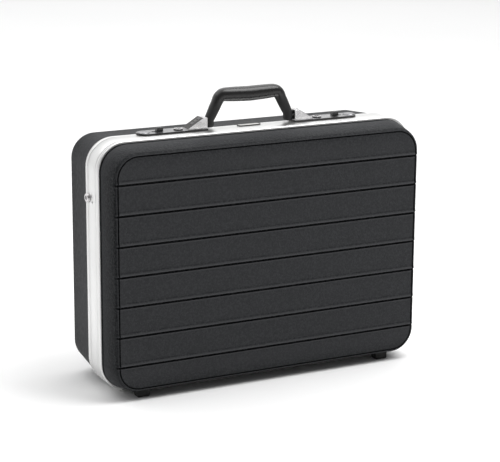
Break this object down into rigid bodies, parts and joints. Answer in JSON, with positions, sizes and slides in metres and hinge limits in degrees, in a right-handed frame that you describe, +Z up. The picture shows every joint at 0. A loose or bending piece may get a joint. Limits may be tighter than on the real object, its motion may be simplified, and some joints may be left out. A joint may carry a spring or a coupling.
{
  "type": "attache case",
  "caption": "Rigid attache case with ribbed moulded shells in a wide aluminium frame, folding handle, sliding latches with number wheels, and a lid hinged along the bottom.",
  "frame": {"origin": "centre of the case's footprint, on the surface it stands on", "axes": "+X along the width to the right as seen from the lid, +Y from the lid towards the base shell, +Z up with the handle on top"},
  "size_m": [0.4672, 0.1556, 0.3893],
  "materials": {
    "shell_plastic": "fine leather grain",
    "frame_aluminium": "satin anodised",
    "lining_fabric": "short pile",
    "foot_rubber": "matte",
    "hinge_steel": "plated",
    "handle_plastic": "semi gloss",
    "badge_metal": "satin, blank",
    "rivet_chrome": "polished",
    "lock_chrome": "satin plated",
    "inner_steel": "zinc plated",
    "knob_plastic": "gloss",
    "wheel_metal": "dark plated"
  },
  "bodies": {
    "base": {"base_shell": "shell_plastic", "base_frame": "frame_aluminium", "frame_joiner": "frame_aluminium", "base_lining": "lining_fabric", "base_feet": "foot_rubber", "base_hinge_leaf": "hinge_steel", "hinge_pin": "hinge_steel", "base_hinge_rivets": "hinge_steel", "badge_plate": "badge_metal", "side_rivets": "rivet_chrome", "lock_plate_left": "lock_chrome", "key_collar_left": "lock_chrome", "wheel_housing_left": "lock_chrome", "lock_rivets_left": "inner_steel", "wheel_shaft_left": "inner_steel", "handle_pin_left": "inner_steel", "stay_track_left": "inner_steel", "stud_cap_left": "knob_plastic", "side_stud_left": "rivet_chrome", "lock_plate_right": "lock_chrome", "key_collar_right": "lock_chrome", "wheel_housing_right": "lock_chrome", "lock_rivets_right": "inner_steel", "wheel_shaft_right": "inner_steel", "handle_pin_right": "inner_steel", "stay_track_right": "inner_steel", "stud_cap_right": "knob_plastic", "side_stud_right": "rivet_chrome"},
    "lid": {"lid_shell": "shell_plastic", "lid_frame": "frame_aluminium", "lid_lining": "lining_fabric", "document_pocket": "lining_fabric", "lid_feet": "foot_rubber", "lid_hinge_leaf": "hinge_steel", "lid_hinge_rivets": "hinge_steel", "keeper_left": "inner_steel", "keeper_right": "inner_steel", "stay_bracket_left": "inner_steel", "stay_bracket_right": "inner_steel"},
    "handle": {"handle_frame": "handle_plastic", "handle_grip": "handle_plastic"},
    "knob_left": {"slide_knob_left": "knob_plastic", "latch_bolt_left": "inner_steel"},
    "key_left": {"key_plug_left": "lock_chrome"},
    "wheel_left_1": {"number_wheel_left_1": "wheel_metal"},
    "wheel_left_2": {"number_wheel_left_2": "wheel_metal"},
    "wheel_left_3": {"number_wheel_left_3": "wheel_metal"},
    "stay_left": {"stay_arm_left": "inner_steel"},
    "knob_right": {"slide_knob_right": "knob_plastic", "latch_bolt_right": "inner_steel"},
    "key_right": {"key_plug_right": "lock_chrome"},
    "wheel_right_1": {"number_wheel_right_1": "wheel_metal"},
    "wheel_right_2": {"number_wheel_right_2": "wheel_metal"},
    "wheel_right_3": {"number_wheel_right_3": "wheel_metal"},
    "stay_right": {"stay_arm_right": "inner_steel"}
  },
  "joints": [
    {"name": "lid_hinge", "type": "hinge", "parent": "base", "child": "lid", "pos_m": [0, -0.02925, 0.0023], "axis": [1, 0, 0], "range_deg": [0, 80]},
    {"name": "handle_fold", "type": "hinge", "parent": "base", "child": "handle", "pos_m": [0, -0.0064, 0.3453], "axis": [1, 0, 0], "range_deg": [-85, 85]},
    {"name": "knob_slide_left", "type": "slide", "parent": "base", "child": "knob_left", "axis": [-1, 0, 0], "range_m": [0, 0.008], "stiffness_N_per_m": 150},
    {"name": "key_turn_left", "type": "hinge", "parent": "base", "child": "key_left", "pos_m": [-0.103, -0.0064, 0.3368], "axis": [0, 0, 1], "range_deg": [-90, 0]},
    {"name": "wheel_turn_left_1", "type": "hinge", "parent": "base", "child": "wheel_left_1", "pos_m": [-0.08209, -0.0064, 0.34385], "axis": [0.8609, 0, 0.5087], "continuous": true},
    {"name": "wheel_turn_left_2", "type": "hinge", "parent": "base", "child": "wheel_left_2", "pos_m": [-0.07744, -0.0064, 0.34659], "axis": [0.8609, 0, 0.5087], "continuous": true},
    {"name": "wheel_turn_left_3", "type": "hinge", "parent": "base", "child": "wheel_left_3", "pos_m": [-0.07279, -0.0064, 0.34934], "axis": [0.8609, 0, 0.5087], "continuous": true},
    {"name": "stay_fold_left", "type": "hinge", "parent": "lid", "child": "stay_left", "pos_m": [-0.2201, -0.03655, 0.0903], "axis": [1, 0, 0], "range_deg": [-120, 0]},
    {"name": "knob_slide_right", "type": "slide", "parent": "base", "child": "knob_right", "axis": [1, 0, 0], "range_m": [0, 0.008], "stiffness_N_per_m": 150},
    {"name": "key_turn_right", "type": "hinge", "parent": "base", "child": "key_right", "pos_m": [0.103, -0.0064, 0.3368], "axis": [0, 0, 1], "range_deg": [0, 90]},
    {"name": "wheel_turn_right_1", "type": "hinge", "parent": "base", "child": "wheel_right_1", "pos_m": [0.08209, -0.0064, 0.34385], "axis": [-0.8609, 0, 0.5087], "continuous": true},
    {"name": "wheel_turn_right_2", "type": "hinge", "parent": "base", "child": "wheel_right_2", "pos_m": [0.07744, -0.0064, 0.34659], "axis": [-0.8609, 0, 0.5087], "continuous": true},
    {"name": "wheel_turn_right_3", "type": "hinge", "parent": "base", "child": "wheel_right_3", "pos_m": [0.07279, -0.0064, 0.34934], "axis": [-0.8609, 0, 0.5087], "continuous": true},
    {"name": "stay_fold_right", "type": "hinge", "parent": "lid", "child": "stay_right", "pos_m": [0.2201, -0.03655, 0.0903], "axis": [1, 0, 0], "range_deg": [-120, 0]}
  ],
  "couplings": [
    {"joint": "stay_fold_left", "follows": "lid_hinge", "ratio": -1.5},
    {"joint": "stay_fold_right", "follows": "lid_hinge", "ratio": -1.5}
  ]
}
